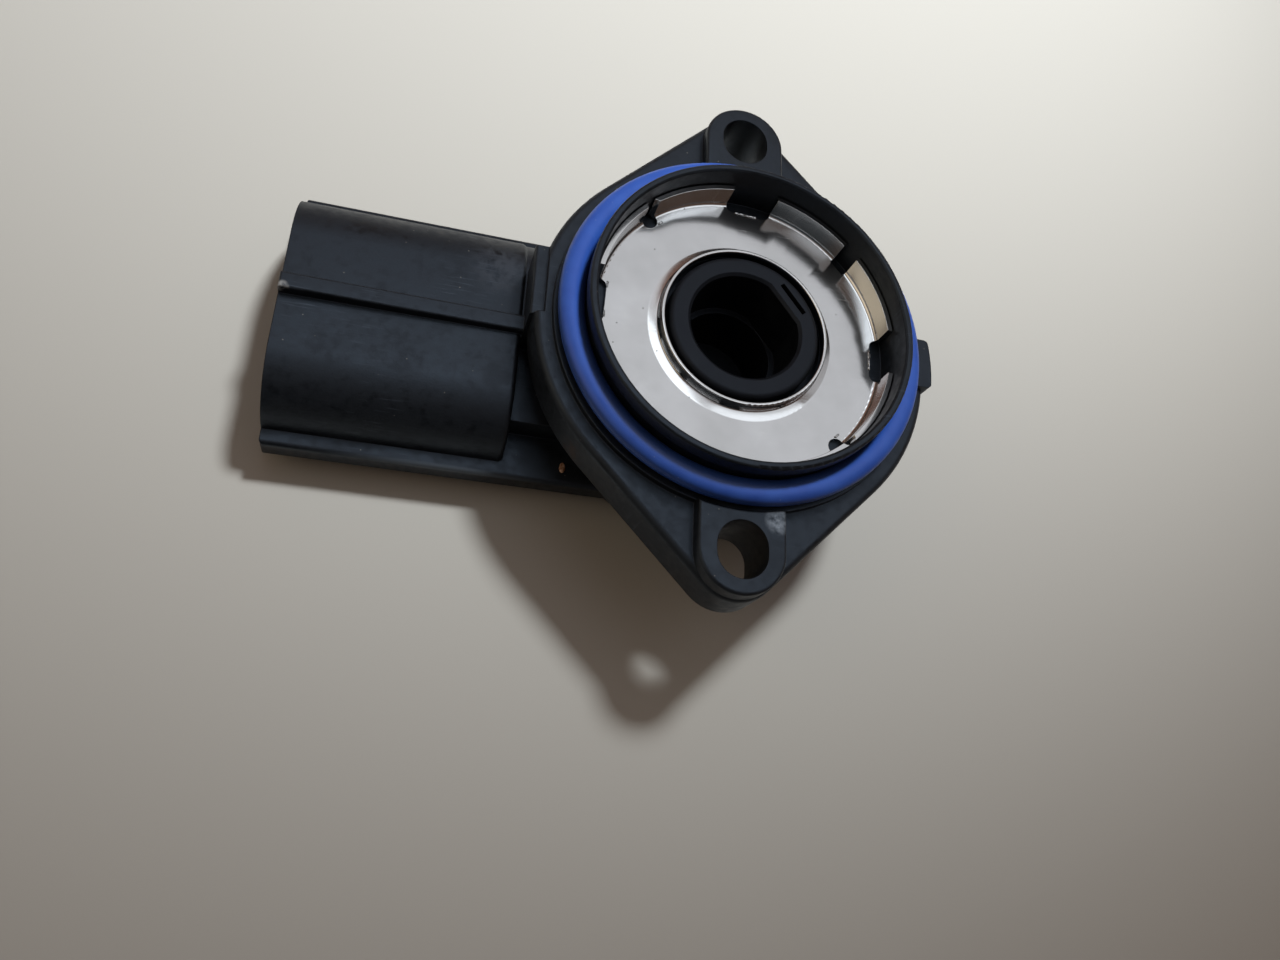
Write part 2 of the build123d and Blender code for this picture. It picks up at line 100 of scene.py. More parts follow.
def add_node(tree, kind, inputs=None, **settings):
    """Adds a shader node. Each input is a value, or an output socket to link from."""
    node = tree.nodes.new(kind)
    for name, value in settings.items():
        setattr(node, name, value)
    for socket, value in (inputs or {}).items():
        if isinstance(value, bpy.types.NodeSocket):
            tree.links.new(value, node.inputs[socket])
        else:
            node.inputs[socket].default_value = value
    return node


def new_material(name):
    """An empty material with its shader, and the place in the object that patterns read."""
    material = bpy.data.materials.new(name)
    material.use_nodes = True
    tree = material.node_tree
    shader = tree.nodes["Principled BSDF"]
    place = add_node(tree, "ShaderNodeTexCoord").outputs["Object"]
    return material, tree, shader, place


print("middle grey in linear light", [round(c, 3) for c in srgb("#808080")])

# %% [markdown]
# ## Glass-filled nylon
# The housing is injection moulded from black nylon with short glass fibres. Its skin is satin, a little blue
# in daylight, and never even: the flow of the melt leaves soft areas some millimetres wide, fibres near the
# skin make a fine mottle, and handling adds dust, scuffs and paler edges. A plain black would look like a
# drawing, so each of these is a pattern with its real size.

# %% Housing plastic
nylon, tree, shader, place = new_material("moulded_glass_filled_nylon")
flow = add_node(tree, "ShaderNodeTexNoise", {"Vector": place, "Scale": 1 / (6 * MM), "Detail": 5.0})
mottle = add_node(tree, "ShaderNodeTexNoise", {"Vector": place, "Scale": 1 / (0.8 * MM), "Detail": 3.0})
cloud = add_node(
    tree, "ShaderNodeMath", {0: flow.outputs["Fac"], 1: mottle.outputs["Fac"]}, operation="ADD"
)
tone = add_node(tree, "ShaderNodeValToRGB", {"Fac": cloud.outputs["Value"]})
tone.color_ramp.elements[0].position = 0.8
tone.color_ramp.elements[0].color = srgb("#08090a")
tone.color_ramp.elements[1].position = 1.0
tone.color_ramp.elements[1].color = srgb("#121417")
print("made", nylon.name)

# %% [markdown]
# ### Worn edges
# Edges rub first. The Bevel node gives a normal that is rounded near an edge, so where it leaves the true
# normal there is an edge, with no need to paint one.

# %% Worn edges of the housing
edge = add_node(tree, "ShaderNodeBevel", {"Radius": 0.15 * MM}, samples=8)
surface = add_node(tree, "ShaderNodeNewGeometry")
flatness = add_node(
    tree,
    "ShaderNodeVectorMath",
    {0: edge.outputs["Normal"], 1: surface.outputs["Normal"]},
    operation="DOT_PRODUCT",
)
rubbed = add_node(
    tree,
    "ShaderNodeMapRange",
    {"Value": flatness.outputs["Value"], "From Min": 0.995, "From Max": 0.9, "To Max": 0.3},
)
worn = add_node(
    tree,
    "ShaderNodeMix",
    {
        MIX_SHARE: rubbed.outputs["Result"],
        MIX_FIRST: tone.outputs["Color"],
        MIX_SECOND: srgb("#26282b"),
    },
    data_type="RGBA",
)
print("worn edges on", nylon.name)

# %% [markdown]
# ### Scuffs
# Scuffs are noise drawn out to thin strokes, 3 mm long and 0.15 mm wide. A second noise, 9 mm wide, says
# where they lie, because real scuffs come in groups.

# %% Scuffs on the housing
strokes = add_node(
    tree,
    "ShaderNodeMapping",
    {"Vector": place, "Rotation": (0, 0, 0.7), "Scale": (1 / (3 * MM), 1 / (0.15 * MM), 1 / (3 * MM))},
)
stroke = add_node(
    tree, "ShaderNodeTexNoise", {"Vector": strokes.outputs["Vector"], "Scale": 1.0, "Detail": 2.0}
)
where = add_node(tree, "ShaderNodeTexNoise", {"Vector": place, "Scale": 1 / (9 * MM), "Detail": 1.0})
stroke_depth = add_node(
    tree,
    "ShaderNodeMapRange",
    {"Value": stroke.outputs["Fac"], "From Min": 0.6, "From Max": 0.75},
)
scuffed = add_node(
    tree,
    "ShaderNodeMapRange",
    {"Value": where.outputs["Fac"], "From Min": 0.5, "From Max": 0.68, "To Max": 0.7},
)
scuff = add_node(
    tree,
    "ShaderNodeMath",
    {0: stroke_depth.outputs["Result"], 1: scuffed.outputs["Result"]},
    operation="MULTIPLY",
)
scuffs = add_node(
    tree,
    "ShaderNodeMix",
    {
        MIX_SHARE: scuff.outputs["Value"],
        MIX_FIRST: worn.outputs[MIX_RESULT],
        MIX_SECOND: srgb("#343a42"),
    },
    data_type="RGBA",
)
print("scuffs on", nylon.name)

# %% [markdown]
# ### Dust
# Dust lies as small dots on what faces up. One speck of 0.12 mm in each cube of 1.5 mm shows about 15 specks
# on the shroud.

# %% Dust on the housing
specks = add_node(tree, "ShaderNodeTexVoronoi", {"Vector": place, "Scale": 1 / (1.5 * MM)})
speck = add_node(
    tree,
    "ShaderNodeMapRange",
    {"Value": specks.outputs["Distance"], "From Min": 0.05, "From Max": 0.03, "To Max": 0.6},
)
facing = add_node(tree, "ShaderNodeSeparateXYZ", {0: surface.outputs["Normal"]})
upward = add_node(
    tree, "ShaderNodeMapRange", {"Value": facing.outputs["Z"], "From Min": 0.3, "From Max": 0.8}
)
dust = add_node(
    tree, "ShaderNodeMath", {0: speck.outputs["Result"], 1: upward.outputs["Result"]}, operation="MULTIPLY"
)
dusty = add_node(
    tree,
    "ShaderNodeMix",
    {
        MIX_SHARE: dust.outputs["Value"],
        MIX_FIRST: scuffs.outputs[MIX_RESULT],
        MIX_SECOND: srgb("#77756f"),
    },
    data_type="RGBA",
)
print("dust on", nylon.name)

# %% [markdown]
# ### Marks and painted highlights on the housing
# A few marks of use and two painted highlights have their own places: a painted highlight lies on a corner
# of one ear, the latch rib is nicked at its end, one panel of the shroud is rubbed grey, old grease has
# dried on the flange's wall, and a painted highlight runs along the edge of the near rail. Each is a ball or
# a long egg round its place. The mottle breaks them up, so that they have no clean edge, and only the rail's
# highlight is left whole.

# %% Marks of use and painted highlights on the housing
broken = add_node(
    tree, "ShaderNodeMapRange", {"Value": mottle.outputs["Fac"], "From Min": 0.35, "From Max": 0.6}
)
RAGGED = broken.outputs["Result"]
WHOLE = 1.0
# Middle of each mark and painted highlight, its reach along X, Y and Z in mm, its colour, and what breaks it
# up.
USE_MARKS_AND_HIGHLIGHTS = (
    # Painted highlight: a lighter grey patch on the corner of the lower ear's pad.
    ((3.3, -19.2, 0.0), (1.4, 1.4, 1.4), "#757d86", RAGGED),
    ((-42.4, -0.9, -5.9), (0.7, 0.7, 0.7), "#a0a1a0", RAGGED),
    ((-23.1, 6.0, -6.8), (3.5, 3.5, 3.5), "#2a2d32", RAGGED),
    ((-14.9, -13.1, -4.8), (1.8, 1.8, 1.8), "#33251a", RAGGED),
    # Painted highlight: a smooth paler line along the top edge of the near rail.
    ((-26.5, -13.65, -12.8), (11.0, 0.5, 0.5), "#4a525a", WHOLE),
)
marked_and_highlighted = dusty.outputs[MIX_RESULT]
for middle, reach, colour, mask in USE_MARKS_AND_HIGHLIGHTS:
    from_middle = add_node(
        tree, "ShaderNodeVectorMath", {0: place, 1: [mm * MM for mm in middle]}, operation="SUBTRACT"
    )
    shares = add_node(
        tree,
        "ShaderNodeVectorMath",
        {0: from_middle.outputs["Vector"], 1: [mm * MM for mm in reach]},
        operation="DIVIDE",
    )
    away = add_node(tree, "ShaderNodeVectorMath", {0: shares.outputs["Vector"]}, operation="LENGTH")
    near = add_node(
        tree, "ShaderNodeMapRange", {"Value": away.outputs["Value"], "From Min": 1.0, "From Max": 0.4}
    )
    mark = add_node(tree, "ShaderNodeMath", {0: near.outputs["Result"], 1: mask}, operation="MULTIPLY")
    mixed = add_node(
        tree,
        "ShaderNodeMix",
        {MIX_SHARE: mark.outputs["Value"], MIX_FIRST: marked_and_highlighted, MIX_SECOND: srgb(colour)},
        data_type="RGBA",
    )
    marked_and_highlighted = mixed.outputs[MIX_RESULT]
tree.links.new(marked_and_highlighted, shader.inputs["Base Color"])
print(len(USE_MARKS_AND_HIGHLIGHTS), "marks of use on", nylon.name)

# %% [markdown]
# ### Skin of the housing
# Where the melt flowed unevenly the gloss changes too, so the same clouds drive the roughness. The mould's
# own grain is about 0.1 mm. It is drawn at 0.2 mm, because finer grain would not show. The bump starts from
# the rounded normal of the edges, so they catch the light as moulded edges do.

# %% Gloss and grain of the housing
grain = add_node(tree, "ShaderNodeTexNoise", {"Vector": place, "Scale": 1 / (0.2 * MM), "Detail": 2.0})
rough = add_node(
    tree,
    "ShaderNodeMapRange",
    {"Value": cloud.outputs["Value"], "From Min": 0.8, "From Max": 1.2, "To Min": 0.39, "To Max": 0.55},
)
bump = add_node(
    tree,
    "ShaderNodeBump",
    {
        "Strength": 0.3,
        "Distance": 0.02 * MM,
        "Height": grain.outputs["Fac"],
        "Normal": edge.outputs["Normal"],
    },
)
tree.links.new(rough.outputs["Result"], shader.inputs["Roughness"])
tree.links.new(bump.outputs["Normal"], shader.inputs["Normal"])
shader.inputs["IOR"].default_value = 1.55
shader.inputs["Specular Tint"].default_value = srgb("#d0e6ff")
print("satin skin on", nylon.name)

# %% [markdown]
# ## Blue rubber
# The seal is a moulded nitrile ring in royal blue. Its skin is smooth with a soft shine and a faint bloom,
# which changes its colour and its gloss a little, and some dust sticks to it.

# %% Seal rubber
rubber, tree, shader, place = new_material("moulded_blue_nitrile")
bloom = add_node(tree, "ShaderNodeTexNoise", {"Vector": place, "Scale": 1 / (2.5 * MM), "Detail": 5.0})
tone = add_node(tree, "ShaderNodeValToRGB", {"Fac": bloom.outputs["Fac"]})
tone.color_ramp.elements[0].position = 0.3
tone.color_ramp.elements[0].color = srgb("#264a9c")
tone.color_ramp.elements[1].position = 0.75
tone.color_ramp.elements[1].color = srgb("#3158ac")
specks = add_node(tree, "ShaderNodeTexVoronoi", {"Vector": place, "Scale": 1 / (1.3 * MM)})
speck = add_node(
    tree,
    "ShaderNodeMapRange",
    {"Value": specks.outputs["Distance"], "From Min": 0.05, "From Max": 0.03, "To Max": 0.35},
)
dusty = add_node(
    tree,
    "ShaderNodeMix",
    {
        MIX_SHARE: speck.outputs["Result"],
        MIX_FIRST: tone.outputs["Color"],
        MIX_SECOND: srgb("#8f97a6"),
    },
    data_type="RGBA",
)
rough = add_node(
    tree,
    "ShaderNodeMapRange",
    {"Value": bloom.outputs["Fac"], "From Min": 0.3, "From Max": 0.7, "To Min": 0.38, "To Max": 0.5},
)
tree.links.new(dusty.outputs[MIX_RESULT], shader.inputs["Base Color"])
tree.links.new(rough.outputs["Result"], shader.inputs["Roughness"])
shader.inputs["IOR"].default_value = 1.48
print("made", rubber.name)

# %% [markdown]
# ### Flash on the seal
# The two halves of the mould leave a hair line of flash round the ring's widest part. It follows one height
# all the way round, so a narrow band of height draws it as a bump.

# %% Flash line round the seal
SEAL_MIDDLE_Z = 0.5 * MM
FLASH = 0.06 * MM
height = add_node(tree, "ShaderNodeSeparateXYZ", {0: place})
off_line = add_node(
    tree, "ShaderNodeMath", {0: height.outputs["Z"], 1: SEAL_MIDDLE_Z}, operation="SUBTRACT"
)
away = add_node(tree, "ShaderNodeMath", {0: off_line.outputs["Value"]}, operation="ABSOLUTE")
flash = add_node(
    tree, "ShaderNodeMapRange", {"Value": away.outputs["Value"], "From Min": FLASH, "From Max": 0.0}
)
bump = add_node(
    tree,
    "ShaderNodeBump",
    {"Strength": 0.5, "Distance": 0.03 * MM, "Height": flash.outputs["Result"]},
)
tree.links.new(bump.outputs["Normal"], shader.inputs["Normal"])
print("flash line on", rubber.name, "at", SEAL_MIDDLE_Z / MM, "mm")

# %% [markdown]
# ## Stamped steel
# The retainer is stamped from bright cold-rolled strip. Rolling leaves fine lines in one direction, so it
# mirrors its surroundings softly, and handling leaves thin scratches and a few specks of dirt.

# %% Retainer steel
steel, tree, shader, place = new_material("stamped_bright_steel")
haze = add_node(tree, "ShaderNodeTexNoise", {"Vector": place, "Scale": 1 / (5 * MM), "Detail": 4.0})
specks = add_node(tree, "ShaderNodeTexVoronoi", {"Vector": place, "Scale": 1 / (2.0 * MM)})
speck = add_node(
    tree,
    "ShaderNodeMapRange",
    {"Value": specks.outputs["Distance"], "From Min": 0.05, "From Max": 0.03, "To Max": 0.6},
)
tone = add_node(tree, "ShaderNodeValToRGB", {"Fac": haze.outputs["Fac"]})
tone.color_ramp.elements[0].position = 0.3
tone.color_ramp.elements[0].color = srgb("#c6c8c8")
tone.color_ramp.elements[1].position = 0.7
tone.color_ramp.elements[1].color = srgb("#d3d5d6")
dirty = add_node(
    tree,
    "ShaderNodeMix",
    {
        MIX_SHARE: speck.outputs["Result"],
        MIX_FIRST: tone.outputs["Color"],
        MIX_SECOND: srgb("#4a4640"),
    },
    data_type="RGBA",
)
tree.links.new(dirty.outputs[MIX_RESULT], shader.inputs["Base Color"])
shader.inputs["Metallic"].default_value = 1.0
print("made", steel.name)

# %% [markdown]
# ### Gloss of the steel
# A metal shows its finish in its roughness. Haze, the lines of rolling and the scratches each have their
# own pattern, and the three are added up.

# %% Gloss of the steel
rolling = add_node(
    tree,
    "ShaderNodeMapping",
    {"Vector": place, "Rotation": (0, 0, 0.5), "Scale": (1 / (8 * MM), 1 / (0.15 * MM), 1 / (8 * MM))},
)
lines = add_node(
    tree, "ShaderNodeTexNoise", {"Vector": rolling.outputs["Vector"], "Scale": 1.0, "Detail": 3.0}
)
scratches = add_node(
    tree,
    "ShaderNodeMapping",
    {"Vector": place, "Rotation": (0, 0, -0.9), "Scale": (1 / (5 * MM), 1 / (0.08 * MM), 1 / (5 * MM))},
)
scratch = add_node(
    tree, "ShaderNodeTexNoise", {"Vector": scratches.outputs["Vector"], "Scale": 1.0, "Detail": 1.0}
)
hazy = add_node(
    tree,
    "ShaderNodeMapRange",
    {"Value": haze.outputs["Fac"], "From Min": 0.3, "From Max": 0.7, "To Min": 0.11, "To Max": 0.14},
)
rolled = add_node(
    tree,
    "ShaderNodeMapRange",
    {"Value": lines.outputs["Fac"], "From Min": 0.3, "From Max": 0.7, "To Max": 0.04},
)
scratched = add_node(
    tree,
    "ShaderNodeMapRange",
    {"Value": scratch.outputs["Fac"], "From Min": 0.7, "From Max": 0.78, "To Max": 0.12},
)
rough = hazy
for finish in (rolled, scratched):
    rough = add_node(
        tree, "ShaderNodeMath", {0: rough.outputs[0], 1: finish.outputs[0]}, operation="ADD"
    )
tree.links.new(rough.outputs[0], shader.inputs["Roughness"])
print("rolled gloss on", steel.name)

# %% [markdown]
# ### Lean of the tabs
# The tabs of the stamping spring outwards a little, so they mirror what lies lower in the room. Their shape
# stays upright here, and only the normal that the shader reads leans up. A face is part of a tab where it
# looks at the middle of the disc from far out: the product of its place and its normal tells that.

# %% Normals of the steel
TAB_LEAN = 0.15
LEAN_STARTS = -9 * MM
LEAN_FULL = -13 * MM
edge = add_node(tree, "ShaderNodeBevel", {"Radius": 0.08 * MM}, samples=8)
flat_place = add_node(
    tree, "ShaderNodeVectorMath", {0: place, 1: (1.0, 1.0, 0.0)}, operation="MULTIPLY"
)
facing = add_node(
    tree,
    "ShaderNodeVectorMath",
    {0: flat_place.outputs["Vector"], 1: edge.outputs["Normal"]},
    operation="DOT_PRODUCT",
)
inward = add_node(
    tree,
    "ShaderNodeMapRange",
    {
        "Value": facing.outputs["Value"],
        "From Min": LEAN_STARTS,
        "From Max": LEAN_FULL,
        "To Max": TAB_LEAN,
    },
)
lean = add_node(tree, "ShaderNodeCombineXYZ", {"Z": inward.outputs["Result"]})
leaning = add_node(
    tree,
    "ShaderNodeVectorMath",
    {0: edge.outputs["Normal"], 1: lean.outputs["Vector"]},
    operation="ADD",
)
unit = add_node(tree, "ShaderNodeVectorMath", {0: leaning.outputs["Vector"]}, operation="NORMALIZE")
tree.links.new(unit.outputs["Vector"], shader.inputs["Normal"])
print("tabs lean by", round(math.degrees(math.atan(TAB_LEAN)), 1), "degrees")

# %% [markdown]
# ## Rotor plastic
# The rotor is acetal, a slippery black plastic that runs in the retainer without grease. Its skin is finer
# and duller than the housing's, with faint rub marks, and it has no fibres to mottle it.

# %% Rotor plastic
acetal, tree, shader, place = new_material("moulded_black_acetal")
rubs = add_node(tree, "ShaderNodeTexNoise", {"Vector": place, "Scale": 1 / (1.5 * MM), "Detail": 5.0})
grain = add_node(tree, "ShaderNodeTexNoise", {"Vector": place, "Scale": 1 / (0.15 * MM), "Detail": 2.0})
tone = add_node(tree, "ShaderNodeValToRGB", {"Fac": rubs.outputs["Fac"]})
tone.color_ramp.elements[0].position = 0.35
tone.color_ramp.elements[0].color = srgb("#08090b")
tone.color_ramp.elements[1].position = 0.75
tone.color_ramp.elements[1].color = srgb("#101216")
rough = add_node(
    tree,
    "ShaderNodeMapRange",
    {"Value": rubs.outputs["Fac"], "From Min": 0.3, "From Max": 0.7, "To Min": 0.48, "To Max": 0.62},
)
edge = add_node(tree, "ShaderNodeBevel", {"Radius": 0.12 * MM}, samples=8)
bump = add_node(
    tree,
    "ShaderNodeBump",
    {
        "Strength": 0.2,
        "Distance": 0.01 * MM,
        "Height": grain.outputs["Fac"],
        "Normal": edge.outputs["Normal"],
    },
)
tree.links.new(tone.outputs["Color"], shader.inputs["Base Color"])
tree.links.new(rough.outputs["Result"], shader.inputs["Roughness"])
tree.links.new(bump.outputs["Normal"], shader.inputs["Normal"])
shader.inputs["IOR"].default_value = 1.41
shader.inputs["Specular Tint"].default_value = srgb("#d8e8ff")
print("made", acetal.name)

# %% [markdown]
# ## Metals inside
# The contactor is blanked from thin nickel silver, a pale springy alloy. The three blades are brass with a
# dull tin plating. Both come from rolled strip, so both show fine lines along it, and one recipe serves for
# both with other colours and another gloss.

# %% Contactor and blade metals
for name, pale, dark, low, high in (
    ("rolled_nickel_silver", "#d8d0b8", "#c3b898", 0.16, 0.3),
    ("tin_plated_brass", "#cfcbbd", "#b5ad95", 0.24, 0.4),
):
    metal, tree, shader, place = new_material(name)
    strip = add_node(
        tree,
        "ShaderNodeMapping",
        {"Vector": place, "Scale": (1 / (4 * MM), 1 / (0.1 * MM), 1 / (0.1 * MM))},
    )
    lines = add_node(
        tree, "ShaderNodeTexNoise", {"Vector": strip.outputs["Vector"], "Scale": 1.0, "Detail": 3.0}
    )
    tone = add_node(tree, "ShaderNodeValToRGB", {"Fac": lines.outputs["Fac"]})
    tone.color_ramp.elements[0].position = 0.3
    tone.color_ramp.elements[0].color = srgb(dark)
    tone.color_ramp.elements[1].position = 0.7
    tone.color_ramp.elements[1].color = srgb(pale)
    rough = add_node(
        tree,
        "ShaderNodeMapRange",
        {"Value": lines.outputs["Fac"], "From Min": 0.3, "From Max": 0.7, "To Min": low, "To Max": high},
    )
    tree.links.new(tone.outputs["Color"], shader.inputs["Base Color"])
    tree.links.new(rough.outputs["Result"], shader.inputs["Roughness"])
    shader.inputs["Metallic"].default_value = 1.0
    print("made", metal.name)
nickel_silver = bpy.data.materials["rolled_nickel_silver"]
brass = bpy.data.materials["tin_plated_brass"]

# %% [markdown]
# ## Printed film
# The element is an amber plastic film. Two carbon tracks are screen printed along it, one above the other,
# and the contactor's fingers slide on them. The tracks follow the height alone, so two bands of height draw
# them all the way round.

# %% Element film
TRACK_HEIGHTS = (-9.15 * MM, -5.95 * MM)
TRACK_HALF_WIDTH = 1.1 * MM
film, tree, shader, place = new_material("printed_amber_film")
height = add_node(tree, "ShaderNodeSeparateXYZ", {0: place})
ink = add_node(tree, "ShaderNodeTexNoise", {"Vector": place, "Scale": 1 / (0.1 * MM), "Detail": 2.0})
amber = add_node(tree, "ShaderNodeValToRGB", {"Fac": ink.outputs["Fac"]})
amber.color_ramp.elements[0].color = srgb("#8a4f14")
amber.color_ramp.elements[1].color = srgb("#a8641f")
carbon = add_node(tree, "ShaderNodeValToRGB", {"Fac": ink.outputs["Fac"]})
carbon.color_ramp.elements[0].color = srgb("#141414")
carbon.color_ramp.elements[1].color = srgb("#262524")
layer = amber.outputs["Color"]
for track in TRACK_HEIGHTS:
    off_track = add_node(tree, "ShaderNodeMath", {0: height.outputs["Z"], 1: track}, operation="SUBTRACT")
    away = add_node(tree, "ShaderNodeMath", {0: off_track.outputs["Value"]}, operation="ABSOLUTE")
    on_track = add_node(
        tree, "ShaderNodeMath", {0: away.outputs["Value"], 1: TRACK_HALF_WIDTH}, operation="LESS_THAN"
    )
    mixed = add_node(
        tree,
        "ShaderNodeMix",
        {MIX_SHARE: on_track.outputs["Value"], MIX_FIRST: layer, MIX_SECOND: carbon.outputs["Color"]},
        data_type="RGBA",
    )
    layer = mixed.outputs[MIX_RESULT]
tree.links.new(layer, shader.inputs["Base Color"])
shader.inputs["Roughness"].default_value = 0.35
print("made", film.name, "with", len(TRACK_HEIGHTS), "tracks")

# %% [markdown]
# ## Smooth copies of the solids
# A loaded solid is a set of loose triangles, and each one shades flat. A merged copy with smooth shading
# below a small angle gives round walls their even shine, while the moulded and sheared edges stay crisp.

# %% Finish the solids
SMOOTH_BELOW = 25
SEAL_SMOOTH_BELOW = 40
MERGE_WITHIN = 0.001 * MM


def finish_solid(node, material, smooth_below=SMOOTH_BELOW):
    """A merged and smoothly shaded copy of a solid, which stands for it."""
    source = frame["nodes"][node]
    copy = bpy.data.objects.new(node + "_finished", source.data.copy())
    bpy.context.scene.collection.objects.link(copy)
    bpy.ops.object.select_all(action="DESELECT")
    copy.select_set(True)
    bpy.context.view_layer.objects.active = copy
    bpy.ops.object.mode_set(mode="EDIT")
    bpy.ops.mesh.select_all(action="SELECT")
    bpy.ops.mesh.remove_doubles(threshold=MERGE_WITHIN)
    bpy.ops.object.mode_set(mode="OBJECT")
    bpy.ops.mesh.customdata_custom_splitnormals_clear()
    bpy.ops.object.shade_smooth_by_angle(angle=math.radians(smooth_below))
    copy.data.materials.clear()
    copy.data.materials.append(material)
    body = source["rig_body"]
    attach(copy, body)
    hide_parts(node)
    print(copy.name, len(copy.data.polygons), "faces on", body)
    return copy


finish_solid("housing", nylon)
o_ring = finish_solid("o_ring", rubber, SEAL_SMOOTH_BELOW)
finish_solid("retainer", steel)
finish_solid("rotor", acetal)
finish_solid("contactor", nickel_silver)
finish_solid("element_film", film)
finish_solid("wedge", acetal)
for terminal in ("terminal_supply", "terminal_signal", "terminal_ground"):
    finish_solid(terminal, brass)

# %% [markdown]
# ## Set of the seal
# A seal that has been squeezed in its seat keeps a flatter crown. The points above its middle are scaled
# towards the middle, which leaves its width as it was.

# %% Flatten the seal's crown
SEAL_SET = 0.8
CLEAR_OF_MIDDLE = 0.01 * MM
bpy.ops.object.select_all(action="DESELECT")
o_ring.select_set(True)
bpy.context.view_layer.objects.active = o_ring
bpy.ops.object.mode_set(mode="EDIT")
bpy.ops.mesh.select_mode(type="VERT")
bpy.ops.mesh.select_all(action="DESELECT")
bpy.ops.object.mode_set(mode="OBJECT")
for point in o_ring.data.vertices:
    point.select = point.co.z > SEAL_MIDDLE_Z + CLEAR_OF_MIDDLE
bpy.ops.object.mode_set(mode="EDIT")
bpy.ops.transform.resize(value=(1.0, 1.0, SEAL_SET), center_override=(0.0, 0.0, SEAL_MIDDLE_Z))
bpy.ops.object.mode_set(mode="OBJECT")
print("seal's crown at", round(max(point.co.z for point in o_ring.data.vertices) / MM, 2), "mm")

# %% [markdown]
# ## Marks of the mould
# Pins push the finished moulding out of its mould, and each one leaves a faint ring on the side that does
# not show. One ring is modelled, half sunk in the wall, with its middle pressed in until the wall shows. The
# rings on the housing are copies of it, each with a mesh of its own, and the first one is then removed.

# %% Rings of the ejector pins
PIN_RADIUS = 1.6 * MM
RING_HEIGHT = 0.08 * MM
RING_WIDTH = 0.2 * MM
RING_PRESS = 1.3 * RING_HEIGHT
RECESS_Z = -16.6 * MM
SHROUD_FOOT_Z = -15.3 * MM
FACES_DOWN = -0.9
bpy.ops.object.select_all(action="DESELECT")
bpy.ops.mesh.primitive_cylinder_add(vertices=48, radius=PIN_RADIUS, depth=2 * RING_HEIGHT)
ring = bpy.context.active_object
bpy.ops.object.mode_set(mode="EDIT")
bpy.ops.mesh.select_mode(type="FACE")
bpy.ops.mesh.select_all(action="DESELECT")
bpy.ops.object.mode_set(mode="OBJECT")
for face in ring.data.polygons:
    face.select = face.normal.z < FACES_DOWN
bpy.ops.object.mode_set(mode="EDIT")
bpy.ops.mesh.inset(thickness=RING_WIDTH)
bpy.ops.transform.translate(value=(0.0, 0.0, RING_PRESS))
bpy.ops.object.mode_set(mode="OBJECT")
ring_places = [(7.0, 0.0, RECESS_Z), (-3.5, 6.1, RECESS_Z), (-3.5, -6.1, RECESS_Z)]
ring_places += [(x, y, SHROUD_FOOT_Z) for x in (-38.0, -25.0) for y in (-9.5, 9.5)]
for number, (x, y, z) in enumerate(ring_places, start=1):
    pin_mark = bpy.data.objects.new(f"ejector_ring_{number}", ring.data.copy())
    bpy.context.scene.collection.objects.link(pin_mark)
    pin_mark.data.transform(Matrix.Translation((x * MM, y * MM, z)))
    pin_mark.data.materials.append(nylon)
    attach(pin_mark, "housing_body")
bpy.data.objects.remove(ring)
print("rings", len(ring_places))

# %% [markdown]
# ### Gate stub
# The melt came into the mould at a gate, and its stub is broken off short. A short post gets a rim on each
# face, and its points are shaken so that it looks torn. The shake has a seed, so every run gives the same.

# %% Gate stub
STUB_RADIUS = 0.7 * MM
STUB_LENGTH = 0.5 * MM
STUB_RIM = 0.15 * MM
STUB_SHAKE = 0.05 * MM
STUB_SEED = 5
bpy.ops.object.select_all(action="DESELECT")
bpy.ops.mesh.primitive_cylinder_add(
    vertices=16, radius=STUB_RADIUS, depth=STUB_LENGTH, location=(0.0, 0.0, RECESS_Z)
)
stub = bpy.context.active_object
stub.name = "gate_stub"
bpy.ops.object.transform_apply(location=True, rotation=False, scale=False)
bpy.ops.object.mode_set(mode="EDIT")
bpy.ops.mesh.select_all(action="SELECT")
bpy.ops.mesh.inset(thickness=STUB_RIM, use_individual=True)
bpy.ops.mesh.select_all(action="SELECT")
bpy.ops.transform.vertex_random(offset=STUB_SHAKE, seed=STUB_SEED)
bpy.ops.object.mode_set(mode="OBJECT")
stub.data.materials.append(nylon)
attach(stub, "housing_body")
print("stub", len(stub.data.polygons), "faces")

# %% [markdown]
# ## Burrs on the stamping
# A press tears the last of the metal as it shears, so the wide gaps keep a rough burr along their roots,
# and it sparkles. Each one is a thin bar, cut into short lengths whose points are shaken out of line. Each
# shake has its own seed.

# %% Burrs along the gaps
BURR_WIDTH = 0.16 * MM
BURR_HEIGHT = 0.14 * MM
BURR_SHAKE = 0.08 * MM
BURR_CUTS = 6
GAP_ROOT = 13.55 * MM
DISC_TOP = -0.9 * MM
